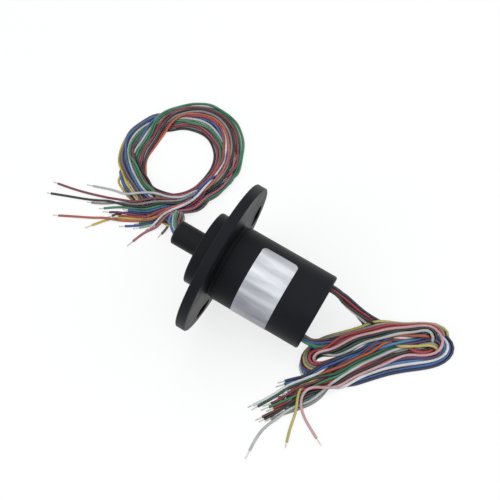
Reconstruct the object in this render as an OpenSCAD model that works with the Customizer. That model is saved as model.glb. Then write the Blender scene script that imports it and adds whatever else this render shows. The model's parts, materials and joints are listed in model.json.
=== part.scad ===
// Capsule slip ring with a slotted mounting flange and flying leads on both ends.
// The slip ring is drawn upright about its spin axis, from the rear end face up to the nose,
// and then laid down as it rests on a table: on its flange rim and the rear edge of its housing.

/* [Housing] */
// Outside diameter of the housing
body_d = 22; // [21:0.5:24]
// Wall thickness of the housing shell
body_wall = 1.4; // [1:0.1:1.6]
// Chamfer on the rear edge of the housing
body_edge = 0.4; // [0.2:0.1:0.8]
// Thickness of the rear cap
cap_t = 2; // [1.8:0.1:2.4]
// Length of the housing shell past the last contact ring
head_room = 1.9; // [1.7:0.1:4]
// Wall thickness of the collar that holds the rear bearing
collar_wall = 0.9; // [0.6:0.1:1.2]

/* [Flange and hub] */
// Diameter of the mounting flange
flange_d = 44.5; // [42:0.5:48]
// Thickness of the mounting flange
flange_t = 2.8; // [2.4:0.1:3.4]
// Chamfer on the flange rim
flange_edge = 0.2; // [0.1:0.05:0.3]
// Length of the neck between the housing shell and the flange
neck_len = 1.4; // [1.2:0.1:3]
// How far the neck steps in from the housing surface
neck_step = 0.7; // [0.4:0.1:1]
// Width of the bead around the neck
bead_w = 0.7; // [0.4:0.1:0.9]
// Diameter of the boss in front of the flange
boss_d = 21.5; // [19:0.5:23]
// Length of the boss
boss_len = 4.6; // [4.2:0.1:6]
// Rounding of the front edge of the boss
boss_round = 0.5; // [0.3:0.1:1]
// Wall thickness of the spigot
spigot_wall = 1.2; // [0.8:0.1:1.5]

/* [Flange slots] */
// Number of slots
slot_count = 3; // [2:1:6]
// Diameter of the circle that the slots lie on
slot_pcd = 35; // [33:0.5:36]
// Width of a slot
slot_w = 4.5; // [3.5:0.1:5]
// Angle between the centres of a slot's round ends
slot_angle = 13; // [8:1:20]

/* [Rotor] */
// Diameter of the nose
nose_d = 7; // [6.6:0.1:7.2]
// Diameter of the journal that turns in the front bearing
journal_d = 7.6; // [7.4:0.1:8]
// Length of the nose in front of the boss
nose_len = 8.6; // [7:0.1:12]
// Chamfer on the end of the nose
nose_edge = 0.4; // [0.2:0.1:0.6]
// Diameter of the lead passage through the nose
nose_bore_d = 4.4; // [4:0.1:4.8]
// Depth of the potting below the end of the nose
potting_depth = 1; // [0.5:0.1:2]
// Length of the potting in the nose
potting_len = 4; // [2:0.5:6]
// Diameter of the core under the contact rings
core_d = 6.4; // [6:0.1:6.8]
// Diameter of the lead passage inside the core
core_bore_d = 3.6; // [3:0.1:4]
// Diameter of the shoulder that the last ring is stacked against
shoulder_d = 9; // [8.6:0.1:10]
// Width of the two lead windows in the core
window_w = 1; // [0.6:0.1:1.4]

/* [Contact rings] */
// Number of circuits
circuits = 18; // [6:1:24]
// Distance between the middles of two rings
ring_pitch = 1.1; // [1:0.05:1.4]
// Width of a contact ring
ring_w = 0.7; // [0.6:0.05:0.8]
// Diameter of a contact ring
ring_d = 8.8; // [8.4:0.1:9.2]
// Depth of the groove in a contact ring
groove_depth = 0.3; // [0.2:0.02:0.3]
// How far a spacer stands out past the rings
spacer_step = 0.4; // [0.2:0.05:0.5]

/* [Brushes] */
// Diameter of a brush wire
brush_wire_d = 0.2; // [0.16:0.02:0.24]
// How far a brush wire reaches past the middle of the ring
brush_reach = 1.5; // [1:0.1:2]
// Thickness of a brush board
board_t = 1; // [0.8:0.1:1.2]
// Width of a brush board
board_w = 9.4; // [8:0.1:10]
// Thickness of the comb that holds the brush wires
comb_t = 0.8; // [0.6:0.05:0.9]
// Width of the comb outside the outer brush wires
comb_margin = 0.25; // [0.1:0.05:0.4]
// Depth of the slots in the rear cap that hold the boards
board_slot = 0.8; // [0.4:0.1:1]

/* [Bearings] */
// Width of both ball bearings
bearing_w = 3; // [2.8:0.1:3.2]
// Radial height of a ball bearing, from its bore to its outside
bearing_h = 2; // [1.9:0.05:2.1]
// Bore of the rear ball bearing
rear_bore_d = 5; // [4.8:0.1:5.2]
// Diameter of a bearing ball
ball_d = 1.2; // [1.1:0.05:1.2]
// Number of balls in the front bearing
front_ball_count = 11; // [7:1:13]
// Number of balls in the rear bearing
rear_ball_count = 9; // [5:1:11]
// Thickness of the web behind the front bearing
web_t = 2; // [1.5:0.1:2.4]
// Thickness of the clip that holds the front bearing on the shaft
clip_t = 0.7; // [0.5:0.1:0.9]
// Radial height of the clip
clip_h = 1.2; // [1:0.1:1.4]
// Depth of the clip's groove in the shaft
clip_groove = 0.4; // [0.3:0.05:0.5]
// Thickness of the dust cover in the front of the boss
cover_t = 0.8; // [0.5:0.1:1]

/* [Label] */
// Width of the foil label, along the spin axis
label_w = 10.6; // [8:0.1:12.5]
// Distance from the rear end face to the label
label_z = 10.1; // [8:0.1:13]
// Thickness of the foil label
label_t = 0.1; // [0.05:0.01:0.15]
// Angle that the label covers
label_angle = 152; // [90:1:200]
// Radius of the label's corners
label_corner = 1.4; // [0.5:0.05:2]

/* [Lead exits] */
// Wall between a rear lead exit and the bore of the housing shell
exit_wall = 0.45; // [0.3:0.05:0.6]
// Diameter of a rear lead exit
exit_d = 3; // [2.9:0.05:3.2]
// Depth of the potting below the rear end face
exit_recess = 0.4; // [0.2:0.1:0.8]

/* [Clearances] */
// Gap between glued or pressed pieces, on each side
seat_gap = 0.04; // [0.02:0.01:0.06]
// Gap between the rotor and the stator, on each side
run_gap = 0.3; // [0.2:0.05:0.4]
// Gap between a ball and its race
ball_gap = 0.04; // [0.02:0.01:0.06]
// Gap between a brush wire and the flanks of its groove
brush_gap = 0.05; // [0.03:0.01:0.08]

/* [Hidden] */
$fn = 96;
function ring_name(i) = str("contact_ring_", i < 10 ? "0" : "", i);

// Stations along the spin axis, from the rear end face
rear_bearing_z = cap_t;
stack_z = rear_bearing_z + bearing_w + run_gap;
stack_len = circuits * ring_pitch;
stack_end = stack_z + stack_len;
spigot_z = stack_end + run_gap;
body_len = stack_end + head_room;
flange_z = body_len + neck_len;
boss_z = flange_z + flange_t;
front_z = boss_z + boss_len;
tip_z = front_z + nose_len;
front_bearing_z = flange_z + flange_t / 2;
web_z = front_bearing_z - web_t;
shoulder_end = web_z - run_gap;

// Radii shared by pieces that fit each other
body_r = body_d / 2;
bore_r = body_r - body_wall;
nose_r = nose_d / 2;
journal_r = journal_d / 2;
front_bearing_r = journal_r + bearing_h;
rear_bore_r = rear_bore_d / 2;
rear_bearing_r = rear_bore_r + bearing_h;
exit_x = bore_r - exit_wall - exit_d / 2;
// The outer corners of a brush board stand in the bore of the housing shell
board_x = sqrt(pow(bore_r - seat_gap, 2) - pow(board_w / 2, 2)) - board_t;
comb_x = board_x - comb_t;
ring_r = ring_d / 2;
spacer_r = ring_r + spacer_step;
// Middle of a brush wire that lies in the groove, clear of both flanks
brush_y = ring_r - groove_depth + (brush_wire_d / 2 + brush_gap) * sqrt(2);
comb_w = 2 * (brush_y + brush_wire_d / 2 + comb_margin);

// Resting attitude: the flange rim and the rear edge of the housing both touch the table
rest_tilt = atan2(flange_d / 2 - body_r, flange_z + flange_edge - body_edge);
rest_z = body_r * cos(rest_tilt) - body_edge * sin(rest_tilt);
reach_front = tip_z * cos(rest_tilt) + (nose_r - nose_edge) * sin(rest_tilt);
reach_rear = (body_r - body_edge) * sin(rest_tilt);
rest_x = (reach_rear - reach_front) / 2;
// How far the slip ring is rolled about its own axis: one slot faces up and to the left
roll = 159;

// Where a point of the upright slip ring comes to lie
function laid_down(x, y, z) =
    let (across = x * cos(roll) - y * sin(roll), beside = x * sin(roll) + y * cos(roll))
    [rest_x + z * cos(rest_tilt) + across * sin(rest_tilt), beside,
     rest_z + z * sin(rest_tilt) - across * cos(rest_tilt)];

// Leads: the bundles' diameters and the points that their middles pass through
front_bundle_d = 3.9;
rear_bundle_d = 2.8;
corner_over = 0.04;
lead_d = 0.8;
straight_len = 6.4;
front_route = [laid_down(0, 0, tip_z - potting_depth), laid_down(0, 0, tip_z + straight_len),
    [30.2, -1.4, 28.4], [32.6, -4.2, 25], [33.4, -7.2, 18.5], [35.2, -10.6, 10.5], [38.8, -13.8, 5],
    [43.5, -16.6, 3], [49, -19, 2.6], [56, -22.2, 2.6], [62, -25.6, 3.2], [69, -31, 3]];
rear_route_a = [laid_down(0, exit_x, exit_recess), laid_down(0, exit_x, -straight_len),
    [-28, -8, 9.5], [-33, -8.5, 7], [-38, -8, 4.5]];
rear_route_b = [laid_down(0, -exit_x, exit_recess), laid_down(0, -exit_x, -straight_len),
    [-25, 6, 5.5], [-30, 3, 4.5]];
coil_centre = [53.5, -38, 0];
coil_r = 16.6;
coil_w = 8.6;
coil_h = 5;
hank_centre = [-37.5, -2, 0];
hank_turn = 33;
hank_len = 41;
hank_w = 15;
hank_h = 7;
front_tails = [
    [[62, -24, 2.5], [76, -16, 0.6], [90, -12, 0.4]],
    [[60, -22, 2.5], [74, -13, 0.6], [87, -8, 0.4]],
    [[64, -26, 2.5], [70, -20, 0.6], [76, -16, 0.4]],
    [[58, -20, 2.5], [69, -8, 0.6], [81, -1, 0.4]],
    [[54, -19, 2.5], [60, -8, 0.6], [65, -1, 0.4]],
    [[50, -19, 2.5], [54, -12, 0.6], [56, -6, 0.4]],
    [[46, -20, 2.5], [48, -11, 0.6], [49, -3, 0.4]]];
rear_tails = [
    [[-24, 9, 2], [-17, 18, 0.6], [-12, 28, 0.4]],
    [[-25, 9, 2], [-20, 18, 0.6], [-17, 28, 0.4]],
    [[-26, 8, 2], [-22, 22, 0.6], [-21, 38, 0.4]],
    [[-30, 7, 2], [-26, 20, 0.6], [-26, 33, 0.4]],
    [[-31, 6, 2], [-29, 18, 0.6], [-33, 28, 0.4]]];

function unit(v) = v / norm(v);
function heading(path, i) = unit(path[min(i + 1, len(path) - 1)] - path[max(i - 1, 0)]);
function ring_points(centre, along, d, sides) =
    let (side = unit(cross(along, [0, 0, 1])), up = cross(side, along))
    [for (k = [0 : sides - 1]) centre + d / 2 * (cos(360 * k / sides) * side + sin(360 * k / sides) * up)];

// A round tube whose rings stand on the points of a path
module tube(path, d, sides = 8) {
    last = len(path) - 1;
    points = [for (i = [0 : last]) each ring_points(path[i], heading(path, i), d, sides)];
    start_face = [for (k = [sides - 1 : -1 : 0]) k];
    end_face = [for (k = [0 : sides - 1]) last * sides + k];
    walls = [for (i = [0 : last - 1], k = [0 : sides - 1])
        let (a = i * sides + k, b = i * sides + (k + 1) % sides)
        [a, b, b + sides, a + sides]];
    polyhedron(points, concat([start_face], walls, [end_face]));
}

// Lays the upright slip ring down on the table
module at_rest() {
    translate([rest_x, 0, rest_z])
    rotate([0, 90 - rest_tilt, 0])
    rotate([0, 0, roll])
    children();
}

module ring_between(r_in, r_out, z, h) {
    translate([0, 0, z])
    difference() {
        cylinder(r = r_out, h = h);
        translate([0, 0, -1])
        cylinder(r = r_in, h = h + 2);
    }
}

module housing_shell() {
    color("#26262a")
    at_rest()
    rotate_extrude()
    polygon([[bore_r, 0], [body_r - body_edge, 0], [body_r, body_edge], [body_r, body_len], [bore_r, body_len]]);
}

module rear_cap() {
    collar_in = rear_bearing_r + seat_gap;
    color("#2c2c30")
    at_rest()
    difference() {
        union() {
            cylinder(r = bore_r - seat_gap, h = cap_t);
            ring_between(collar_in, collar_in + collar_wall, cap_t - 0.01, bearing_w);
        }
        for (side = [-1, 1]) {
            translate([0, side * exit_x, -1])
            cylinder(d = exit_d, h = cap_t + 2);
            translate([side * (board_x + board_t / 2), 0, cap_t])
            cube([board_t + 2 * seat_gap, board_w + 2 * seat_gap, 2 * board_slot], center = true);
        }
        translate([0, 0, cap_t - board_slot])
        cylinder(r = rear_bore_r + bearing_h / 2, h = cap_t);
    }
}

// One arc-shaped slot, centred on the x axis
module flange_slot() {
    translate([0, 0, flange_z - 1]) {
        rotate([0, 0, -slot_angle / 2])
        rotate_extrude(angle = slot_angle)
        translate([slot_pcd / 2 - slot_w / 2, 0])
        square([slot_w, flange_t + 2]);
        for (side = [-1, 1])
            rotate([0, 0, side * slot_angle / 2])
            translate([slot_pcd / 2, 0, 0])
            cylinder(d = slot_w, h = flange_t + 2);
    }
}

module flange_hub() {
    neck_r = body_r - neck_step;
    spigot_r = bore_r - seat_gap;
    boss_r = boss_d / 2;
    flange_r = flange_d / 2;
    bead_z = body_len + (neck_len - bead_w) / 2;
    color("#2a2a2e")
    at_rest()
    difference() {
        rotate_extrude() {
            polygon([
                [spigot_r - spigot_wall, spigot_z], [spigot_r, spigot_z], [spigot_r, body_len],
                [neck_r, body_len], [neck_r, bead_z], [neck_r + neck_step / 2, bead_z],
                [neck_r + neck_step / 2, bead_z + bead_w], [neck_r, bead_z + bead_w], [neck_r, flange_z],
                [flange_r - flange_edge, flange_z], [flange_r, flange_z + flange_edge],
                [flange_r, boss_z - flange_edge], [flange_r - flange_edge, boss_z],
                [boss_r, boss_z], [boss_r, front_z - boss_round], [boss_r - boss_round, front_z],
                [front_bearing_r + seat_gap, front_z], [front_bearing_r + seat_gap, front_bearing_z],
                [journal_r + bearing_h / 2, front_bearing_z], [journal_r + bearing_h / 2, web_z],
                [spigot_r - spigot_wall, web_z]]);
            translate([boss_r - boss_round, front_z - boss_round])
            circle(r = boss_round);
        }
        for (i = [0 : slot_count - 1])
            rotate([0, 0, i * 360 / slot_count])
            flange_slot();
    }
}

// The foil label, a thin curved sheet with rounded corners
module foil_label() {
    corner_turn = label_corner / body_r * 180 / PI;
    color("#c9ced2")
    at_rest()
    rotate([0, 0, -105])
    difference() {
        rotate_extrude(angle = label_angle)
        translate([body_r, label_z])
        square([label_t, label_w]);
        for (side = [0, 1], end = [0, 1])
            rotate([0, 0, side == 0 ? corner_turn : label_angle - corner_turn])
            translate([0, 0, end == 0 ? label_z + label_corner : label_z + label_w - label_corner])
            label_corner_cut(side, end);
    }
}

// What rounding takes off one corner of the label, along the radius that points at it
module label_corner_cut(side, end) {
    cut = label_corner + label_t;
    difference() {
        translate([0, (side - 1) * cut, (end - 1) * cut])
        cube([2 * body_r, cut, cut]);
        rotate([0, 90, 0])
        translate([0, 0, -body_r])
        cylinder(r = label_corner + corner_over, h = 4 * body_r);
    }
}

module dust_cover() {
    color("#333337")
    at_rest()
    ring_between(journal_r + run_gap, front_bearing_r, front_z - cover_t - boss_round / 2, cover_t);
}

module brush_board(side) {
    board_z = cap_t - board_slot + seat_gap;
    color("#2f6b45")
    at_rest()
    translate([side > 0 ? board_x : -board_x - board_t, -board_w / 2, board_z])
    cube([board_t, board_w, stack_end - board_z]);
}

module brush_comb(side) {
    color("#e0d8c4")
    at_rest()
    translate([side > 0 ? comb_x : -board_x, -comb_w / 2, stack_z])
    cube([comb_t, comb_w, stack_len]);
}

// The wire pairs on one side serve every second ring
module brush_wires(side) {
    first = side > 0 ? 0 : 1;
    color("#d9b45a")
    at_rest()
    for (i = [first : 2 : circuits - 1], edge = [-1, 1])
        translate([side * comb_x, edge * brush_y, stack_z + (i + 0.5) * ring_pitch])
        rotate([0, -side * 90, 0])
        cylinder(d = brush_wire_d, h = comb_x + brush_reach, $fn = 16);
}

module race_groove(pitch_r, z) {
    translate([0, 0, z + bearing_w / 2])
    rotate_extrude()
    translate([pitch_r, 0])
    circle(d = ball_d + 2 * ball_gap, $fn = 32);
}

module bearing_outer(r_bore, z) {
    pitch_r = r_bore + bearing_h / 2;
    color("#b9bcc0")
    at_rest()
    difference() {
        ring_between(pitch_r + ball_d * 0.3, r_bore + bearing_h, z, bearing_w);
        race_groove(pitch_r, z);
    }
}

module bearing_inner(r_bore, z) {
    pitch_r = r_bore + bearing_h / 2;
    color("#b9bcc0")
    at_rest()
    difference() {
        ring_between(r_bore, pitch_r - ball_d * 0.3, z, bearing_w);
        race_groove(pitch_r, z);
    }
}

module bearing_balls(r_bore, z, count) {
    color("#d5d8dc")
    at_rest()
    for (i = [0 : count - 1])
        rotate([0, 0, i * 360 / count])
        translate([r_bore + bearing_h / 2, 0, z + bearing_w / 2])
        sphere(d = ball_d, $fn = 32);
}

module rotor_core() {
    shaft_r = journal_r - seat_gap;
    stub_r = rear_bore_r - seat_gap;
    core_r = core_d / 2;
    clip_z = front_bearing_z + bearing_w;
    core_z = cap_t - board_slot + run_gap;
    step_r = journal_r + bearing_h / 4;
    stub_end = rear_bearing_z + bearing_w;
    color("#222226")
    at_rest()
    difference() {
        rotate_extrude()
        polygon([
            [0, core_z], [stub_r, core_z], [stub_r, stub_end], [core_r, stub_end],
            [core_r, stack_end], [shoulder_d / 2, stack_end], [shoulder_d / 2, shoulder_end],
            [step_r, shoulder_end], [step_r, front_bearing_z], [shaft_r, front_bearing_z],
            [shaft_r, clip_z], [shaft_r - clip_groove, clip_z], [shaft_r - clip_groove, clip_z + clip_t],
            [shaft_r, clip_z + clip_t], [shaft_r, front_z],
            [nose_r, front_z], [nose_r, tip_z - nose_edge], [nose_r - nose_edge, tip_z], [0, tip_z]]);
        translate([0, 0, stub_end])
        cylinder(d = core_bore_d, h = tip_z);
        translate([0, 0, stack_end])
        cylinder(d = nose_bore_d, h = tip_z);
        translate([-core_d, -window_w / 2, stack_z + ring_pitch])
        cube([2 * core_d, window_w, stack_len - 2 * ring_pitch]);
    }
}

// A gold-plated ring with a groove that the brush wires run in
module contact_ring(i) {
    z = stack_z + (i - 1) * ring_pitch + (ring_pitch - ring_w) / 2;
    middle = z + ring_w / 2;
    r_in = core_d / 2 + seat_gap;
    color("#d4a94a")
    at_rest()
    rotate_extrude()
    polygon([
        [r_in, z], [ring_r, z], [ring_r, middle - groove_depth], [ring_r - groove_depth, middle],
        [ring_r, middle + groove_depth], [ring_r, z + ring_w], [r_in, z + ring_w]]);
}

// The insulating washers between the rings, and one at each end of the stack
module ring_spacers() {
    spacer_w = ring_pitch - ring_w;
    r_in = core_d / 2 + seat_gap;
    color("#f0ece0")
    at_rest() {
        ring_between(r_in, spacer_r, stack_z, spacer_w / 2);
        for (i = [1 : circuits - 1])
            ring_between(r_in, spacer_r, stack_z + i * ring_pitch - spacer_w / 2, spacer_w);
        ring_between(r_in, spacer_r, stack_end - spacer_w / 2, spacer_w / 2);
    }
}

// A spring clip with a gap, in the groove in front of the front bearing
module bearing_clip() {
    clip_in = journal_r - clip_groove;
    clip_z = front_bearing_z + bearing_w + seat_gap;
    color("#9a9da2")
    at_rest()
    difference() {
        ring_between(clip_in, clip_in + clip_h, clip_z, clip_t - 2 * seat_gap);
        translate([0, -clip_h, clip_z - 1])
        cube([journal_d, 2 * clip_h, clip_t + 2]);
    }
}

module nose_potting() {
    color("#1c1c1e")
    at_rest()
    translate([0, 0, tip_z - potting_depth - potting_len])
    cylinder(d = nose_bore_d - 2 * seat_gap, h = potting_len);
}

module rear_potting(side) {
    color("#1c1c1e")
    at_rest()
    translate([0, side * exit_x, exit_recess])
    cylinder(d = exit_d - 2 * seat_gap, h = cap_t);
}

module front_lead_tube() {
    color("#7a3a3a")
    tube(front_route, front_bundle_d);
}

module front_lead_coil() {
    flat = coil_w - coil_h;
    color("#2f7a50")
    translate(coil_centre)
    rotate_extrude() {
        translate([coil_r - flat / 2, 0])
        square([flat, coil_h]);
        for (side = [-1, 1])
            translate([coil_r + side * flat / 2, coil_h / 2])
            circle(d = coil_h, $fn = 32);
    }
}

module front_lead_tails() {
    color("#c23b30")
    for (tail = front_tails)
        tube(tail, lead_d);
}

module rear_lead_tube(route) {
    color("#7a3a3a")
    tube(route, rear_bundle_d);
}

module rear_lead_hank() {
    color("#b03a3a")
    translate(hank_centre)
    rotate([0, 0, hank_turn])
    linear_extrude(hank_h) {
        square([hank_len - hank_w, hank_w], center = true);
        for (side = [-1, 1])
            translate([side * (hank_len - hank_w) / 2, 0])
            circle(d = hank_w);
    }
}

module rear_lead_tails() {
    color("#8a8d92")
    for (tail = rear_tails)
        tube(tail, lead_d);
}

housing_shell();
rear_cap();
flange_hub();
foil_label();
dust_cover();
brush_board(1);  // brush_board_a
brush_board(-1);  // brush_board_b
brush_comb(1);  // brush_comb_a
brush_comb(-1);  // brush_comb_b
brush_wires(1);  // brush_wires_a
brush_wires(-1);  // brush_wires_b
bearing_outer(journal_r, front_bearing_z);  // front_bearing_outer
bearing_outer(rear_bore_r, rear_bearing_z);  // rear_bearing_outer
bearing_balls(journal_r, front_bearing_z, front_ball_count);  // front_bearing_balls
bearing_balls(rear_bore_r, rear_bearing_z, rear_ball_count);  // rear_bearing_balls
bearing_inner(journal_r, front_bearing_z);  // front_bearing_inner
bearing_inner(rear_bore_r, rear_bearing_z);  // rear_bearing_inner
rotor_core();
ring_spacers();
bearing_clip();
nose_potting();
rear_potting(1);  // rear_potting_a
rear_potting(-1);  // rear_potting_b
front_lead_tube();
front_lead_coil();
front_lead_tails();
rear_lead_tube(rear_route_a);  // rear_lead_tube_a
rear_lead_tube(rear_route_b);  // rear_lead_tube_b
rear_lead_hank();
rear_lead_tails();
for (i = [1 : circuits])
    contact_ring(i);
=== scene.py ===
import json
import math

import bpy
import numpy as np
from mathutils import Matrix, Vector
from mathutils.kdtree import KDTree


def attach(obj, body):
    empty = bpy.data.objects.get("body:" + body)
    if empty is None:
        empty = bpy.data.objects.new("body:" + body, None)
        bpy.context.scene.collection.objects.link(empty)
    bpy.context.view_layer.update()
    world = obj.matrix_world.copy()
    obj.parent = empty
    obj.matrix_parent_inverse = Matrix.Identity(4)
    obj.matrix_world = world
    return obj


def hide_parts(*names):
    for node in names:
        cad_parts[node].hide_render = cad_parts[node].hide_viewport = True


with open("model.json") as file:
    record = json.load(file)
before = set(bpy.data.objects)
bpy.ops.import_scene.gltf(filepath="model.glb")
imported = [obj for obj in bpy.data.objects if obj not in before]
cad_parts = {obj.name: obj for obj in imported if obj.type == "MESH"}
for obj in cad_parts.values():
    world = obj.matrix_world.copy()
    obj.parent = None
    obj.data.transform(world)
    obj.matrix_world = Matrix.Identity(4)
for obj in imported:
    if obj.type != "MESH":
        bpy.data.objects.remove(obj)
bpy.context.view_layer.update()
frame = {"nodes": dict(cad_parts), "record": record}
print("stage: frame loaded")

mm = 0.001


# Colours and shader nodes

def linearColour(hexText):
    srgb = [int(hexText[k:k + 2], 16) / 255 for k in (1, 3, 5)]
    return [c / 12.92 if c <= 0.04045 else ((c + 0.055) / 1.055) ** 2.4 for c in srgb] + [1.0]


def addNode(material, kind, links=None, **values):
    node = material.node_tree.nodes.new(kind)
    for name, value in values.items():
        if name in node.inputs:
            node.inputs[name].default_value = value
        else:
            setattr(node, name, value)
    for name, source in (links or {}).items():
        material.node_tree.links.new(source, node.inputs[name])
    return node


# The slip ring's axis rises by this angle towards the nose; turned and drawn marks follow it
lean = math.radians(21.75)
# The part of the noise's range over which a material goes from its first colour and gloss to its second
driftRange = (0.3, 0.7)
noiseDetail = {"drift": 3, "grain": 2}


# A material whose colour and gloss drift over blotches, with a bump for each size and depth in "bumps", in
# millimetres. "stretch" makes the pattern finer or coarser along the slip ring's axis and the two ways
# across it.
def makeMaterial(name, look):
    material = bpy.data.materials.new(name)
    material.use_nodes = True
    shader = material.node_tree.nodes["Principled BSDF"]
    shader.inputs["Metallic"].default_value = look.get("metallic", 0.0)
    shader.inputs["Specular IOR Level"].default_value = look.get("specular", 0.5)
    place = addNode(material, "ShaderNodeTexCoord").outputs["Object"]
    turned = addNode(material, "ShaderNodeMapping", {"Vector": place}, Rotation=(0, lean, 0))
    stretched = addNode(material, "ShaderNodeMapping", {"Vector": turned.outputs[0]},
                        Scale=look.get("stretch", (1, 1, 1)))
    drift = addNode(material, "ShaderNodeTexNoise", {"Vector": stretched.outputs[0]},
                    Scale=1 / (look["blotch"] * mm), Detail=noiseDetail["drift"])
    ramp = addNode(material, "ShaderNodeValToRGB", {"Fac": drift.outputs["Fac"]})
    for stop, colour, position in zip(ramp.color_ramp.elements, look["colours"], driftRange):
        stop.color = linearColour(colour)
        stop.position = position
    low, high = look["roughness"]
    gloss = addNode(material, "ShaderNodeMapRange", {"Value": drift.outputs["Fac"]},
                    **{"From Min": driftRange[0], "From Max": driftRange[1], "To Min": low, "To Max": high})
    links = material.node_tree.links
    links.new(ramp.outputs["Color"], shader.inputs["Base Color"])
    links.new(gloss.outputs[0], shader.inputs["Roughness"])
    normal = None
    for size, depth in look["bumps"]:
        grain = addNode(material, "ShaderNodeTexNoise", {"Vector": stretched.outputs[0]},
                        Scale=1 / (size * mm), Detail=noiseDetail["grain"])
        below = {"Height": grain.outputs["Fac"]}
        if normal:
            below["Normal"] = normal
        normal = addNode(material, "ShaderNodeBump", below, Distance=depth * mm).outputs["Normal"]
    links.new(normal, shader.inputs["Normal"])
    return material


def addThing(name, data):
    thing = bpy.data.objects.new(name, data)
    bpy.context.scene.collection.objects.link(thing)
    return thing


# The direction that an azimuth and an elevation in degrees point in
def pointing(azimuth, elevation):
    a, e = math.radians(azimuth), math.radians(elevation)
    return Vector((math.cos(a) * math.cos(e), math.sin(a) * math.cos(e), math.sin(e)))


# Camera: a close three-quarter view from above, turned so that the housing runs across the picture

camera = {
    "target": Vector((8.39, -10.3, 10.0)) * mm,
    "azimuth": 139.01,
    "elevation": 55.0,
    "roll": 22.33,
    "distance": 264.84 * mm,
    "lens": 66.6,
    "sensor": 36,
    "clip": (0.01, 10),
}


def makeCamera(c):
    away = pointing(c["azimuth"], c["elevation"])
    data = bpy.data.cameras.new("photoCamera")
    data.lens = c["lens"]
    data.sensor_width = c["sensor"]
    data.clip_start, data.clip_end = c["clip"]
    thing = addThing("photoCamera", data)
    level = (-away).to_track_quat("-Z", "Y").to_matrix()
    thing.location = c["target"] + away * c["distance"]
    thing.rotation_euler = (level @ Matrix.Rotation(math.radians(-c["roll"]), 3, "Z")).to_euler()
    bpy.context.scene.camera = thing


makeCamera(camera)
print("stage: camera made")


# Leads: thin insulated wires, each on its own route, settled on the table and on each other

# A lead's route has a point at each step, of which every second one goes into its curve
lead = {"diameter": 0.8 * mm, "step": 0.6 * mm, "every": 2, "roundness": 2}

# How the leads of a harness settle. Reaches, "skip" and "span" are counted in steps along a lead.
settling = {
    "rounds": 150,
    # A lead stays put over a first length from its exit and comes free over the next
    "fixed": 4 * mm, "freeing": 6 * mm,
    # Past the length that is held it falls a little each round, except in the last rounds
    "fall": 0.02 * mm, "falling": 12 * mm, "fallShare": 0.75,
    # Neighbours are looked for now and then, within some diameters, and on one lead only past "skip"
    "renewal": 10, "search": 1.7, "skip": 6,
    # Points nearer than "contact" diameters are pushed apart, less for each where one point has many contacts
    "contact": 1.01, "sharing": 0.6, "pushReach": 4, "pushGain": 1.6,
    # Sharp turns are smoothed, and slow ones are kept
    "bendReach": 3, "slowReach": 5, "bendGain": 0.5,
    # Points "span" apart along a lead stay at least "chord" from each other, which keeps its bends open
    "span": 6, "chord": 3.2 * mm, "chordReach": 1, "chordGain": 0.6,
    # The least height of a lead's underside over the table
    "lift": 0.01 * mm,
}
# A slow sideways wander, in millimetres: it grows in over a length past the exit, in waves of a length and a
# reach. From lead to lead the waves get longer, in a cycle, and their phase turns.
wandering = {
    "start": 25, "growth": 20, "waves": ((61, 0.3), (37, 0.25), (23, 0.12)),
    "longer": 1.3, "cycle": 5, "leadPhase": 2.4, "wavePhase": 1.7,
}

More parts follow.
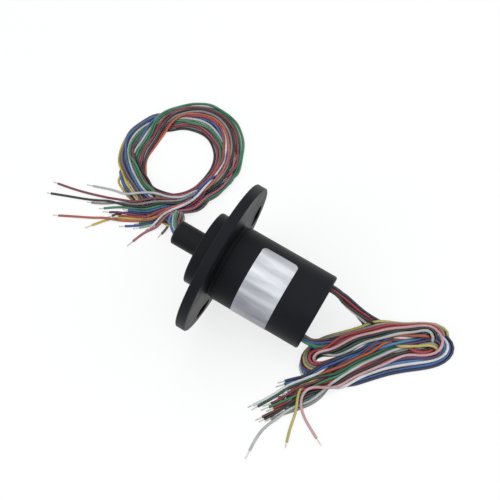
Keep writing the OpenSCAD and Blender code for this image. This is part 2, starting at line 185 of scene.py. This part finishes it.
# The front leads in the order of their places in the bundle: name, colour and the route of the tail in
# millimetres, which leaves the coil, crosses the bundle and ends on the table
frontLeads = [
    ("green", "#43805e",
     [(39.5, -24.5, 4.4), (44.5, -18.5, 4.4), (52.0, -15.5, 2.6), (60.5, -13.0, 0.9), (67.0, -10.0, 0.4)]),
    ("steelBlue", "#37639a",
     [(40.0, -22.5, 4.2), (44.5, -18.0, 4.2), (49.5, -15.4, 2.8), (54.5, -13.6, 1.4), (58.5, -12.5, 0.5)]),
    ("lightGrey", "#c4c5c6",
     [(39.5, -26.0, 5.0), (44.0, -21.0, 5.6), (50.0, -19.5, 6.0), (57.5, -18.0, 4.8), (66.5, -17.0, 2.4),
      (75.5, -16.0, 0.4)]),
    ("pineGreen", "#2d6d4c",
     [(40.2, -19.0, 4.0), (44.0, -15.8, 3.6), (48.5, -12.5, 1.6), (52.0, -10.4, 0.4)]),
    ("maroon", "#7b3441",
     [(40.0, -26.5, 4.6), (44.5, -21.0, 5.2), (49.0, -18.5, 5.2), (57.0, -16.1, 4.0), (65.5, -14.1, 2.2),
      (75.5, -13.0, 0.8), (88.0, -12.5, 0.4)]),
    ("darkViolet", "#2e2340",
     [(38.0, -22.5, 4.6), (43.0, -18.5, 4.8), (49.0, -15.0, 3.0), (56.0, -12.4, 1.4), (63.0, -9.2, 0.4)]),
    ("darkGrey", "#615d59",
     [(37.2, -20.8, 3.8), (39.4, -16.2, 4.6), (41.0, -12.9, 3.2), (42.5, -9.8, 0.4)]),
    ("paleGreen", "#9fb397",
     [(40.5, -17.0, 4.0), (45.0, -13.5, 2.2), (48.5, -11.0, 1.0), (51.0, -8.5, 0.4)]),
    ("pink", "#a8616f",
     [(36.0, -27.5, 4.6), (38.0, -20.0, 5.6), (42.5, -14.5, 4.8), (47.0, -9.6, 2.0), (49.5, -3.0, 0.4)]),
    ("black", "#19191b",
     [(38.5, -24.0, 4.6), (43.0, -19.0, 5.0), (51.5, -16.5, 4.4), (61.0, -13.7, 2.6), (74.0, -10.5, 0.9),
      (87.5, -8.0, 0.4)]),
    ("brown", "#5c453b", [(38.2, -21.4, 3.6), (40.6, -17.6, 4.4), (43.2, -14.4, 4.0), (46.4, -11.8, 0.8)]),
    ("violet", "#642e54",
     [(39.0, -20.5, 5.0), (42.5, -17.0, 5.0), (48.0, -14.0, 3.2), (55.0, -11.5, 1.4), (63.5, -8.6, 0.4)]),
    ("grey", "#8b8986",
     [(40.0, -23.0, 5.2), (44.0, -19.4, 5.2), (52.0, -17.3, 4.4), (62.0, -14.2, 2.2), (72.0, -10.5, 0.4)]),
    ("blue", "#2b4689",
     [(37.0, -29.5, 5.4), (39.0, -21.5, 6.4), (43.0, -16.0, 5.2), (49.0, -11.0, 2.0), (55.5, -6.5, 0.4)]),
    ("yellow", "#cdb452",
     [(43.5, -16.0, 4.4), (50.0, -12.5, 2.8), (57.5, -9.6, 1.2), (62.0, -7.0, 0.6), (65.0, -4.5, 0.4),
      (66.0, -2.5, 0.4)]),
    ("white", "#dedee0", [(37.0, -27.5, 6.0), (39.8, -20.0, 6.8), (43.0, -14.5, 5.0), (46.5, -10.2, 0.8)]),
    ("orange", "#b25f4a",
     [(38.5, -22.0, 5.4), (42.0, -17.5, 5.6), (47.5, -13.0, 3.6), (54.0, -10.0, 2.0), (60.0, -8.0, 1.0),
      (66.5, -5.5, 0.4), (80.0, -1.5, 0.4)]),
    ("red", "#a03c3b",
     [(39.5, -20.0, 5.4), (43.5, -16.0, 5.0), (50.5, -12.8, 2.4), (57.0, -10.5, 0.8), (60.0, -9.0, 0.4)]),
]

# Each station of a bundle is x, y, z, half width and half height in millimetres, and the turn of its section
# in degrees
frontHang = [
    (21.08, 0, 26.15, 1.5, 1.5, 100), (22.5, -0.6, 26.6, 1.4, 1.6, 100), (24.6, -3.6, 25.4, 1.4, 1.7, 95),
    (27.6, -6.6, 21.4, 1.5, 1.7, 90), (30.6, -8.6, 16.2, 1.7, 1.7, 85), (33.8, -10.4, 10.4, 1.8, 1.7, 80),
    (37.2, -12.2, 5.6, 2.0, 1.6, 75), (41.2, -14.2, 2.8, 2.3, 1.4, 70), (46, -16.2, 1.7, 2.5, 1.3, 66),
    (50.6, -17.1, 1.8, 2.5, 1.3, 63), (56.4, -19.8, 2.6, 2.5, 1.3, 60), (62.8, -23.4, 3.7, 2.5, 1.2, 60),
]
coil = {
    "centre": (53.5, -38.0),
    # Angle, radius and height of the bundle's middle, then half width, half height and turn of the section
    "turns": [
        (26, 18.4, 4.0, 2.5, 1.2, 60), (4, 19.6, 3.2, 2.4, 1.3, 65), (-16, 19.0, 2.2, 2.3, 1.4, 70),
        (-38, 16.0, 1.8, 2.2, 1.4, 75), (-72, 13.8, 1.8, 2.2, 1.4, 80), (-110, 13.2, 1.8, 2.2, 1.4, 85),
        (-145, 14.4, 1.8, 2.2, 1.4, 90), (-175, 16.2, 1.8, 2.2, 1.4, 92), (-205, 17.8, 1.8, 2.2, 1.4, 95),
        (-235, 19.5, 1.6, 2.3, 1.3, 98), (-262, 19.7, 1.5, 2.4, 1.2, 100), (-289, 18.8, 1.4, 2.4, 1.2, 104),
        (-308, 17.8, 1.3, 2.4, 1.2, 110), (-325, 16.2, 1.3, 2.3, 1.2, 115), (-345, 14.9, 1.4, 2.3, 1.2, 120),
        (-365, 14.3, 2.2, 2.3, 1.3, 128), (-385, 15.3, 4.0, 2.4, 1.2, 136), (-404, 16.6, 4.8, 2.5, 1.2, 150),
        (-432, 18.0, 4.2, 2.7, 1.1, 170), (-465, 18.0, 3.6, 2.7, 1.1, 182), (-500, 17.1, 3.3, 2.5, 1.2, 195),
        (-526, 17.4, 3.2, 2.4, 1.3, 208), (-546, 18.6, 3.4, 2.4, 1.4, 216),
    ],
}

# The rear leads in the same way, each with the opening of the housing that it comes from
rearLeads = [
    ("white", "#dededd", "a",
     [(-25.5, 14.5, 4.4), (-21.5, 17.0, 2.4), (-18.5, 20.5, 1.2), (-15.0, 25.0, 0.6), (-12.0, 28.0, 0.4)]),
    ("navy", "#222a44", "a", [(-24.5, 13.0, 3.8), (-21.0, 16.0, 2.4), (-18.0, 18.5, 0.5)]),
    ("blue", "#2f5a92", "b",
     [(-24.5, 13.5, 3.6), (-22.0, 15.8, 2.6), (-20.2, 18.2, 1.2), (-18.8, 20.5, 0.5)]),
    ("lightBlue", "#4a79a8", "b", [(-25.5, 16.5, 1.6), (-22.5, 19.5, 0.6), (-20.0, 21.8, 0.4)]),
    ("violet", "#4f3159", "a", [(-25.4, 16.4, 1.2), (-22.4, 20.0, 0.5), (-20.0, 22.8, 0.4)]),
    ("maroon", "#6a2c3a", "b",
     [(-24.8, 16.0, 3.4), (-22.0, 20.0, 1.6), (-20.0, 23.0, 0.8), (-18.0, 26.0, 0.4)]),
    ("orange", "#a5522f", "b", [(-24.8, 15.0, 3.8), (-22.6, 18.5, 1.8), (-20.5, 21.0, 0.6)]),
    ("brown", "#64493c", "b",
     [(-25.5, 17.5, 2.4), (-22.0, 22.5, 0.9), (-18.5, 28.0, 0.4), (-17.2, 30.5, 0.4)]),
    ("teal", "#2b666c", "a", [(-25.8, 17.2, 0.8), (-22.6, 21.4, 0.4), (-20.0, 25.2, 0.4)]),
    ("yellow", "#bdb267", "a",
     [(-24.4, 16.5, 3.8), (-22.8, 19.0, 2.0), (-23.0, 22.0, 0.8), (-24.5, 27.5, 0.4), (-26.0, 33.0, 0.4)]),
    ("darkGreen", "#1f4a3d", "a",
     [(-24.6, 15.2, 3.8), (-22.2, 17.6, 2.0), (-19.0, 21.5, 1.0), (-16.0, 25.0, 0.5), (-13.5, 27.5, 0.4)]),
    ("green", "#3a7a52", "b",
     [(-25.2, 16.8, 2.8), (-22.2, 21.0, 1.2), (-19.8, 24.6, 0.5), (-18.2, 27.4, 0.4)]),
    ("grey", "#8f8c88", "b",
     [(-26.5, 18.0, 1.8), (-23.0, 22.5, 0.6), (-20.0, 27.0, 0.4), (-18.0, 29.6, 0.4)]),
    ("crimson", "#8f2b35", "a",
     [(-25.0, 16.2, 3.0), (-22.2, 20.6, 1.2), (-20.0, 24.0, 0.5), (-18.6, 26.4, 0.4)]),
    ("lightGrey", "#bdbdbb", "b",
     [(-26.0, 18.5, 2.2), (-23.0, 22.0, 0.9), (-20.5, 26.5, 0.5), (-18.8, 30.5, 0.4), (-18.2, 35.0, 0.4),
      (-18.6, 39.5, 0.4)]),
    ("black", "#1b1b1d", "a",
     [(-26.0, 17.2, 2.6), (-22.4, 22.2, 1.0), (-19.4, 26.8, 0.5), (-17.6, 30.2, 0.4)]),
    ("red", "#a0333b", "a",
     [(-25.0, 15.8, 3.4), (-22.4, 19.6, 1.6), (-20.4, 22.6, 0.8), (-19.2, 24.6, 0.4)]),
    ("palePink", "#cfa6a8", "b",
     [(-25.2, 16.2, 4.6), (-23.4, 18.5, 2.6), (-24.2, 21.5, 0.9), (-27.0, 24.8, 0.4), (-30.0, 27.5, 0.4),
      (-32.5, 28.7, 0.4)]),
]
rearHang = {
    "a": [
        (-19.87, -7.14, 12.76, 1.1, 1.1, 0), (-21.7, -7.14, 12.03, 1.1, 1.1, 0),
        (-25.3, -6.6, 9.0, 1.2, 1.1, 20), (-28.2, -6.1, 6.2, 1.3, 1.0, 40), (-31.6, -5.6, 3.2, 1.4, 0.9, 60),
        (-35.5, -5.0, 1.8, 1.5, 0.8, 80), (-39.5, -5.2, 2.2, 1.5, 0.8, 90),
    ],
    "b": [
        (-17.84, 7.14, 7.67, 1.1, 1.1, 0), (-19.7, 7.14, 6.93, 1.1, 1.1, 0), (-21.2, 6.4, 4.9, 1.1, 1.1, 20),
        (-22.8, 5.0, 2.6, 1.3, 1.0, 40), (-25.4, 3.0, 1.3, 1.5, 0.8, 60), (-30, 1.0, 1.2, 1.5, 0.8, 80),
        (-35, 0.0, 1.6, 1.5, 0.8, 90),
    ],
}
# Leads of each opening in the order that they lie across its bundle
rearOrder = {
    "a": ["black", "white", "crimson", "red", "violet", "navy", "teal", "darkGreen", "yellow"],
    "b": ["green", "lightBlue", "blue", "palePink", "orange", "brown", "maroon", "lightGrey", "grey"],
}
hank = {
    "centre": (-37.5, -2.0),
    "turn": 213,
    # Along and across the hank's middle line, then height, half width, half height and turn of the section
    "runs": [
        (5.5, 0.4, 3.2, 2.6, 0.9, 120), (10.6, 0.2, 3.4, 2.2, 1.1, 130), (13.8, 0.9, 3.2, 1.4, 1.8, 140),
        (15.0, 2.0, 2.6, 1.2, 2.0, 150), (12.8, 2.7, 1.8, 1.5, 1.6, 160), (6.0, 2.1, 1.2, 2.3, 1.1, 165),
        (-2.0, 3.3, 1.2, 2.4, 1.0, 170), (-9, 4.9, 1.2, 2.4, 1.0, 175), (-15.5, 5.0, 1.3, 2.3, 1.1, 185),
        (-20.0, 3.7, 2.2, 1.4, 1.8, 200), (-21.2, 1.3, 3.6, 1.5, 1.7, 220), (-17.8, -1.2, 4.8, 2.6, 1.0, 240),
        (-11.4, -2.6, 4.8, 3.2, 0.8, 255), (-3.8, -3.8, 5.0, 3.1, 0.8, 265), (3.0, -3.6, 5.4, 2.8, 0.9, 270),
        (8.6, -2.3, 5.6, 2.1, 1.1, 275), (12.2, -1.6, 5.0, 1.4, 1.6, 285), (14.2, 0.0, 3.6, 1.1, 2.0, 300),
        (12.2, 1.6, 2.2, 1.3, 1.6, 315), (6.6, 1.0, 1.8, 2.0, 1.2, 330), (1.0, 1.4, 2.6, 2.5, 1.0, 340),
        (-4.5, 3.0, 3.5, 2.7, 0.9, 350), (-11, 4.8, 3.7, 2.7, 0.9, 360), (-16.8, 6.8, 3.5, 2.6, 1.0, 370),
    ],
}


# A smooth line through given points, first dense and then cut into even steps
def smoothLine(points, step):
    densePoints = 24
    p = np.array(points, float)
    t = np.concatenate([[0], np.cumsum(np.sqrt(np.linalg.norm(np.diff(p, axis=0), axis=1)))])
    slopes = headings(p, t)
    line = []
    for i in range(len(p) - 1):
        span = t[i + 1] - t[i]
        u = np.linspace(0, 1, densePoints + 1)[:-1, None]
        line.append((2 * u ** 3 - 3 * u ** 2 + 1) * p[i] + (u ** 3 - 2 * u ** 2 + u) * span * slopes[i]
                    + (3 * u ** 2 - 2 * u ** 3) * p[i + 1] + (u ** 3 - u ** 2) * span * slopes[i + 1])
    dense = np.vstack(line + [p[-1:]])
    run = np.concatenate([[0], np.cumsum(np.linalg.norm(np.diff(dense, axis=0), axis=1))])
    count = max(2, int(round(run[-1] / step)) + 1)
    even = np.linspace(0, run[-1], count)
    return np.stack([np.interp(even, run, dense[:, k]) for k in range(3)], axis=1)


# The direction and rate at which a line passes each of its points p, reached at the times t
def headings(p, t):
    gaps = np.diff(t)[:, None]
    rates = np.diff(p, axis=0) / gaps
    inner = (rates[1:] * gaps[:-1] + rates[:-1] * gaps[1:]) / (gaps[1:] + gaps[:-1])
    return np.vstack([rates[:1], inner, rates[-1:]])


# Evenly filled places in a round section, ordered across it from one side to the other
def sectionPlaces(count):
    golden = math.pi * (3 - math.sqrt(5))
    spots = [(math.sqrt((i + 0.5) / count), i * golden) for i in range(count)]
    return sorted([(r * math.cos(a), r * math.sin(a)) for r, a in spots], reverse=True)


# Where one lead of a bundle passes each of the bundle's stations
def stationPoints(stations, place):
    rows = np.array(stations, float)
    centres = rows[:, :3]
    t = np.concatenate([[0], np.cumsum(np.sqrt(np.linalg.norm(np.diff(centres, axis=0), axis=1)))])
    along = headings(centres, t)
    side = np.cross(along, [0, 0, 1])
    side /= np.linalg.norm(side, axis=1)[:, None]
    up = np.cross(side, along)
    up /= np.linalg.norm(up, axis=1)[:, None]
    turn = np.radians(rows[:, 5])
    u = place[0] * np.cos(turn) - place[1] * np.sin(turn)
    v = place[0] * np.sin(turn) + place[1] * np.cos(turn)
    return centres + side * (rows[:, 3] * u)[:, None] + up * (rows[:, 4] * v)[:, None]


def coilStations(c):
    stations = []
    for angle, radius, height, halfWidth, halfHeight, turn in c["turns"]:
        a = math.radians(angle)
        stations.append((c["centre"][0] + radius * math.cos(a), c["centre"][1] + radius * math.sin(a),
                         height, halfWidth, halfHeight, turn))
    return stations


def hankStations(h):
    a = math.radians(h["turn"])
    along, across = (math.cos(a), math.sin(a)), (math.sin(a), -math.cos(a))
    return [(h["centre"][0] + p * along[0] + q * across[0], h["centre"][1] + p * along[1] + q * across[1],
             height, halfWidth, halfHeight, turn) for p, q, height, halfWidth, halfHeight, turn in h["runs"]]


# Moves a lead a little to and fro, so that no two leads of a bundle run quite alike
def wander(line, number):
    w = wandering
    run = np.arange(len(line)) * lead["step"] / mm
    fade = np.clip((run - w["start"]) / w["growth"], 0, 1)
    for k, (length, reach) in enumerate(w["waves"]):
        phase = w["leadPhase"] * number + w["wavePhase"] * k
        longer = length + w["longer"] * (number % w["cycle"])
        swing = fade * reach * mm * np.sin(2 * math.pi * run / longer + phase)
        line[:, 0] += swing * math.cos(phase)
        line[:, 1] += swing * math.sin(phase)
    return line


# Averages over a reach to both sides, for each lead by itself
def smoothed(values, starts, reach):
    result = np.empty_like(values)
    kernel = np.hanning(2 * reach + 3)[1:-1]
    kernel /= kernel.sum()
    for a, b in zip(starts[:-1], starts[1:]):
        padded = np.pad(values[a:b], ((reach, reach), (0, 0)), mode="edge")
        for k in range(3):
            result[a:b, k] = np.convolve(padded[:, k], kernel, mode="valid")
    return result


# Pairs of points within a reach of each other, apart from close neighbours on one lead
def nearPairs(points, owner, order, reach):
    tree = KDTree(len(points))
    for i, p in enumerate(points):
        tree.insert(p, i)
    tree.balance()
    first, second = [], []
    for i, p in enumerate(points):
        for _, j, _ in tree.find_range(p, reach):
            if j > i and (owner[i] != owner[j] or abs(order[i] - order[j]) > settling["skip"]):
                first.append(i)
                second.append(j)
    return np.array(first), np.array(second)


# The sum of what each pair gives its second point, less what it takes from its first
def pairMoves(first, second, moves, count):
    total = np.zeros((count, 3))
    for k in range(3):
        total[:, k] += np.bincount(second, moves[:, k], count) - np.bincount(first, moves[:, k], count)
    return total


# Half of what is missing between each pair's points to the distance wanted, along the line between them
def halfShortfall(points, first, second, wanted):
    leastDistance = 1e-7
    apart = points[second] - points[first]
    distance = np.maximum(np.linalg.norm(apart, axis=1), leastDistance)
    return apart / distance[:, None] * (np.maximum(0, wanted - distance) / 2)[:, None], distance


# Lets the leads fall on the table and pushes them apart, though where many press together some still overlap
def settle(lines, held):
    s = settling
    starts = np.concatenate([[0], np.cumsum([len(line) for line in lines])])
    points = np.vstack(lines)
    count = len(points)
    owner = np.concatenate([np.full(len(line), i) for i, line in enumerate(lines)])
    order = np.concatenate([np.arange(len(line)) for line in lines])
    run = order * lead["step"]
    free = np.clip((run - s["fixed"]) / s["freeing"], 0, 1)[:, None]
    falls = np.clip((run - held) / s["falling"], 0, 1) * s["fall"]
    contact = s["contact"] * lead["diameter"]
    near = np.flatnonzero(owner[s["span"]:] == owner[:-s["span"]])
    far = near + s["span"]
    for turn in range(s["rounds"]):
        if turn % s["renewal"] == 0:
            first, second = nearPairs(points, owner, order, s["search"] * lead["diameter"])
        push, distance = halfShortfall(points, first, second, contact)
        shift = pairMoves(first, second, push, count)
        touching = distance < contact
        hits = np.bincount(first[touching], minlength=count) + np.bincount(second[touching], minlength=count)
        shift /= np.maximum(1, hits * s["sharing"])[:, None]
        if turn < s["rounds"] * s["fallShare"]:
            shift[:, 2] -= falls
        points += free * smoothed(shift, starts, s["pushReach"]) * s["pushGain"]
        bend = smoothed(points, starts, s["bendReach"]) - points
        points += free * (bend - smoothed(bend, starts, s["slowReach"])) * s["bendGain"]
        opening, _ = halfShortfall(points, near, far, s["chord"])
        spread = pairMoves(near, far, opening, count)
        points += free * smoothed(spread, starts, s["chordReach"]) * s["chordGain"]
        points[:, 2] = np.maximum(points[:, 2], lead["diameter"] / 2 + s["lift"])
    return [points[a:b] for a, b in zip(starts[:-1], starts[1:])]


# Extruded insulation: a clean shine along each lead, with the slight waviness of a drawn tube
insulation = {"roughness": (0.28, 0.38), "blotch": 5, "bumps": [(1.2, 0.01)], "darkest": 0.86}
# Tinned copper: bright greyish strands with a dull bloom where the tin ran
tinnedCopper = makeMaterial("tinnedCopper", {
    "colours": ("#b9b6b0", "#d6d3cd"), "metallic": 1.0, "roughness": (0.22, 0.42), "blotch": 0.6,
    "bumps": [(0.08, 0.004)],
})
# A bare end: its strands start inside the insulation and twist once over "lay". Three lengths take turns.
strand = {"count": 7, "diameter": 0.127 * mm, "lay": 4 * mm, "buried": 0.4 * mm, "rings": 8, "sides": 6}
tipLengths = {"least": 1.6, "more": 0.4, "cycle": 3}


# A darker shade of a colour
def shaded(hexText, share):
    return "#" + "".join("%02x" % int(int(hexText[k:k + 2], 16) * share) for k in (1, 3, 5))


# The bare end of a lead: a centre strand and the others twisted round it, straight on and level
def makeTip(name, line, length, body):
    sides, rings = strand["sides"], strand["rings"]
    backSteps = 4
    heading = Vector(line[-1]) - Vector(line[-1 - backSteps])
    heading.z = 0
    heading.normalize()
    side = heading.cross(Vector((0, 0, 1)))
    vertices, faces = [], []
    for number in range(strand["count"]):
        offset = strand["diameter"] * (1 if number else 0)
        for k in range(rings):
            along = k / (rings - 1) * (length + strand["buried"]) - strand["buried"]
            turn = 2 * math.pi * (number / (strand["count"] - 1) + along / strand["lay"])
            middle = (Vector(line[-1]) + heading * along + side * offset * math.cos(turn)
                      + Vector((0, 0, offset * math.sin(turn))))
            for m in range(sides):
                a = 2 * math.pi * m / sides
                reach = strand["diameter"] / 2
                vertices.append(middle + side * reach * math.cos(a) + Vector((0, 0, reach * math.sin(a))))
        first = number * rings * sides
        for k in range(rings - 1):
            for m in range(sides):
                a, b = first + k * sides + m, first + k * sides + (m + 1) % sides
                faces.append((a, b, b + sides, a + sides))
        faces.append(tuple(first + m for m in reversed(range(sides))))
        faces.append(tuple(first + (rings - 1) * sides + m for m in range(sides)))
    mesh = bpy.data.meshes.new(name)
    mesh.from_pydata(vertices, [], faces)
    mesh.polygons.foreach_set("use_smooth", [len(f) == 4 for f in faces])
    mesh.materials.append(tinnedCopper)
    thing = addThing(name, mesh)
    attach(thing, body)
    return thing


# One lead: a round insulated line with its bare end, which stands for the given solids with the other leads
def makeLead(name, line, colour, body, nodes, tipLength):
    curve = bpy.data.curves.new(name, "CURVE")
    curve.dimensions = "3D"
    curve.bevel_depth = lead["diameter"] / 2
    curve.bevel_resolution = lead["roundness"]
    curve.use_fill_caps = True
    kept = line[::lead["every"]]
    if (len(line) - 1) % lead["every"]:
        kept = np.vstack([kept, line[-1:]])
    spline = curve.splines.new("POLY")
    spline.points.add(len(kept) - 1)
    spline.points.foreach_set("co", np.hstack([kept, np.ones((len(kept), 1))]).ravel())
    spline.use_smooth = True
    thing = addThing(name, curve)
    look = dict(insulation, colours=(shaded(colour, insulation["darkest"]), colour))
    curve.materials.append(makeMaterial(name + "Insulation", look))
    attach(thing, body)
    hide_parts(*nodes)
    tip = makeTip(name + "End", line, tipLength, body)


def runLength(line):
    return float(np.linalg.norm(np.diff(line, axis=0), axis=1).sum())


# All leads of one end, which keep the height of their routes over the length "held"
def makeHarness(prefix, leads, routes, held, body, nodes):
    lines = [wander(smoothLine(np.array(route) * mm, lead["step"]), i) for i, route in enumerate(routes)]
    lines = settle(lines, held)
    for i, (row, line) in enumerate(zip(leads, lines)):
        tipLength = (tipLengths["least"] + tipLengths["more"] * (i % tipLengths["cycle"])) * mm
        makeLead(prefix + row[0][0].upper() + row[0][1:], line, row[1], body, nodes, tipLength)
    lengths = [runLength(line) / mm for line in lines]
    print("stage: %s leads made, %.0f to %.0f mm long" % (prefix, min(lengths), max(lengths)))


frontStations = frontHang + coilStations(coil)
places = sectionPlaces(len(frontLeads))
frontRoutes = []
for place, row in zip(places, frontLeads):
    frontRoutes.append(np.vstack([stationPoints(frontStations, place), row[-1]]))
makeHarness("front", frontLeads, frontRoutes, held=50 * mm, body="rotor",
            nodes=["front_lead_tube", "front_lead_coil", "front_lead_tails"])

# A rear lead has one place in the nine of its opening and another among all in the hank
rearRoutes = []
hankPath = hankStations(hank)
smallPlaces = sectionPlaces(len(rearLeads) // 2)
for place, (name, colour, opening, tail) in zip(places, rearLeads):
    hang = rearHang[opening]
    stations = hang + hankPath
    inHang = stationPoints(stations, smallPlaces[rearOrder[opening].index(name)])[:len(hang)]
    inHank = stationPoints(stations, place)[len(hang):]
    rearRoutes.append(np.vstack([inHang, inHank, tail]))
makeHarness("rear", rearLeads, rearRoutes, held=20 * mm, body="stator",
            nodes=["rear_lead_tube_a", "rear_lead_tube_b", "rear_lead_hank", "rear_lead_tails"])


# Materials of the solid pieces, by the record's slot

looks = {
    # Black moulded nylon: a fine satin grain over a slow drift of gloss, which keeps the highlights soft
    "housing_plastic": ("blackNylon", {
        "colours": ("#0d0f13", "#15171c"), "roughness": (0.4, 0.52), "specular": 0.11, "blotch": 9,
        "bumps": [(6, 0.05), (0.16, 0.006)],
    }),
    # Turned black acetal: closer and glossier, with faint rings round the axis
    "rotor_plastic": ("turnedAcetal", {
        "colours": ("#0c0e12", "#14161a"), "roughness": (0.32, 0.44), "specular": 0.12, "blotch": 4,
        "stretch": (6, 0.5, 0.5), "bumps": [(1, 0.006)],
    }),
    # Satin aluminium foil on a curved wall: soft light and dark bands along the axis, bent by slow dents, are
    # painted reflections in its colour
    "label_foil": ("foilWithPaintedReflections", {
        "colours": ("#83838d", "#c9cdd0"), "metallic": 1.0, "roughness": (0.3, 0.42), "blotch": 4.5,
        "stretch": (0.2, 1, 1), "bumps": [(5, 0.16), (0.3, 0.004)],
    }),
    # Glass and epoxy board: green with the cloth showing through
    "board_laminate": ("epoxyLaminate", {
        "colours": ("#27603b", "#3b7d50"), "roughness": (0.35, 0.5), "blotch": 0.7, "stretch": (1, 2.5, 1),
        "bumps": [(0.4, 0.01)],
    }),
    # Ivory moulded comb: slightly waxy, with flow marks
    "comb_plastic": ("ivoryPbt", {
        "colours": ("#d8ccb2", "#e6dcc6"), "roughness": (0.4, 0.55), "blotch": 3, "bumps": [(0.2, 0.005)],
    }),
    # Gold plate on brass: warm and bright, with turning marks round the axis
    "contact_gold": ("goldPlate", {
        "colours": ("#c8973c", "#dfb35a"), "metallic": 1.0, "roughness": (0.18, 0.3), "blotch": 2,
        "stretch": (8, 0.4, 0.4), "bumps": [(0.6, 0.003)],
    }),
    # Ground bearing steel: a cool mirror with fine grinding lines
    "bearing_steel": ("bearingSteel", {
        "colours": ("#a9adb3", "#c4c8cc"), "metallic": 1.0, "roughness": (0.14, 0.26), "blotch": 2,
        "stretch": (8, 0.4, 0.4), "bumps": [(0.5, 0.002)],
    }),
    # White insulating washers between the rings: matt with a trace of machining
    "spacer_plastic": ("whitePtfe", {
        "colours": ("#e2dfd4", "#efece4"), "roughness": (0.5, 0.62), "blotch": 2, "stretch": (6, 0.5, 0.5),
        "bumps": [(0.4, 0.006)],
    }),
    # Spring steel of the clip: darker and drawn, with a blue-grey temper
    "clip_steel": ("springSteel", {
        "colours": ("#7e8288", "#999da3"), "metallic": 1.0, "roughness": (0.25, 0.38), "blotch": 1.5,
        "bumps": [(0.2, 0.004)],
    }),
    # Potting resin round the leads: black, glossy and a little uneven where it set
    "potting_resin": ("pottingResin", {
        "colours": ("#121214", "#1b1b1e"), "roughness": (0.16, 0.34), "blotch": 1.5,
        "bumps": [(1.2, 0.08), (0.3, 0.01)],
    }),
}
slotOf = {part["node"]: part["material_slot"] for part in frame["record"]["subparts"]}
slotMaterials = {slot: makeMaterial(name, look) for slot, (name, look) in looks.items()}
for name, thing in frame["nodes"].items():
    if slotOf.get(name) in slotMaterials:
        thing.data.materials.clear()
        thing.data.materials.append(slotMaterials[slotOf[name]])
print("stage: solid pieces dressed")


# Floor, light and background

floor = {"half": 3, "colour": "#f2f2f2", "roughness": 0.9, "share": 0.7, "glow": 1.06}
sky = {"light": (0.92, 0.95, 1.0, 1), "strength": 0.55, "seen": (1, 1, 1, 1)}
# A large soft key light from behind the housing, and a weaker fill from the side of the nose
lights = {
    "keyLight": {"azimuth": 200, "elevation": 60, "distance": 0.6, "size": (1.1, 1.0), "power": 3.0},
    "fillLight": {"azimuth": 60, "elevation": 40, "distance": 0.7, "size": (0.7, 0.7), "power": 1.2},
}


# 1 for the rays that show the background: the camera's own, and those that mirrors and glass pass on
def seenRays(material):
    rays = addNode(material, "ShaderNodeLightPath").outputs
    shown = addNode(material, "ShaderNodeMath", {0: rays["Is Camera Ray"], 1: rays["Is Glossy Ray"]})
    every = {0: shown.outputs[0], 1: rays["Is Transmission Ray"]}
    return addNode(material, "ShaderNodeMath", every, use_clamp=True).outputs[0]


# The floor keeps the object's shadow; a share of what the camera sees of it is its own white
def makeFloor():
    half = floor["half"]
    mesh = bpy.data.meshes.new("floor")
    corners = [(-half, -half, 0), (half, -half, 0), (half, half, 0), (-half, half, 0)]
    mesh.from_pydata(corners, [], [(0, 1, 2, 3)])
    thing = addThing("floor", mesh)
    material = bpy.data.materials.new("palePaper")
    material.use_nodes = True
    shader = material.node_tree.nodes["Principled BSDF"]
    shader.inputs["Base Color"].default_value = linearColour(floor["colour"])
    shader.inputs["Roughness"].default_value = floor["roughness"]
    share = addNode(material, "ShaderNodeMath", {0: seenRays(material)}, operation="MULTIPLY")
    share.inputs[1].default_value = floor["share"]
    glow = addNode(material, "ShaderNodeEmission", Strength=floor["glow"])
    mix = addNode(material, "ShaderNodeMixShader",
                  {0: share.outputs[0], 1: shader.outputs[0], 2: glow.outputs[0]})
    surface = material.node_tree.nodes["Material Output"].inputs["Surface"]
    material.node_tree.links.new(mix.outputs[0], surface)
    mesh.materials.append(material)


def makeLight(name, light, target):
    away = pointing(light["azimuth"], light["elevation"])
    data = bpy.data.lights.new(name, "AREA")
    data.shape = "RECTANGLE"
    data.size, data.size_y = light["size"]
    data.energy = light["power"]
    thing = addThing(name, data)
    thing.location = target + away * light["distance"]
    thing.rotation_euler = (-away).to_track_quat("-Z", "Y").to_euler()


# White where it is seen, and a dimmer, cooler light on the object
def makeWorld():
    world = bpy.data.worlds.new("studio")
    bpy.context.scene.world = world
    world.use_nodes = True
    light = world.node_tree.nodes["Background"]
    light.inputs["Color"].default_value = sky["light"]
    light.inputs["Strength"].default_value = sky["strength"]
    white = addNode(world, "ShaderNodeBackground", Color=sky["seen"], Strength=1.0)
    mix = addNode(world, "ShaderNodeMixShader",
                  {0: seenRays(world), 1: light.outputs[0], 2: white.outputs[0]})
    surface = world.node_tree.nodes["World Output"].inputs["Surface"]
    world.node_tree.links.new(mix.outputs[0], surface)


makeFloor()
for name, light in lights.items():
    makeLight(name, light, camera["target"])
makeWorld()
bpy.context.scene.view_settings.view_transform = "Standard"
print("stage: floor, lights and background made")
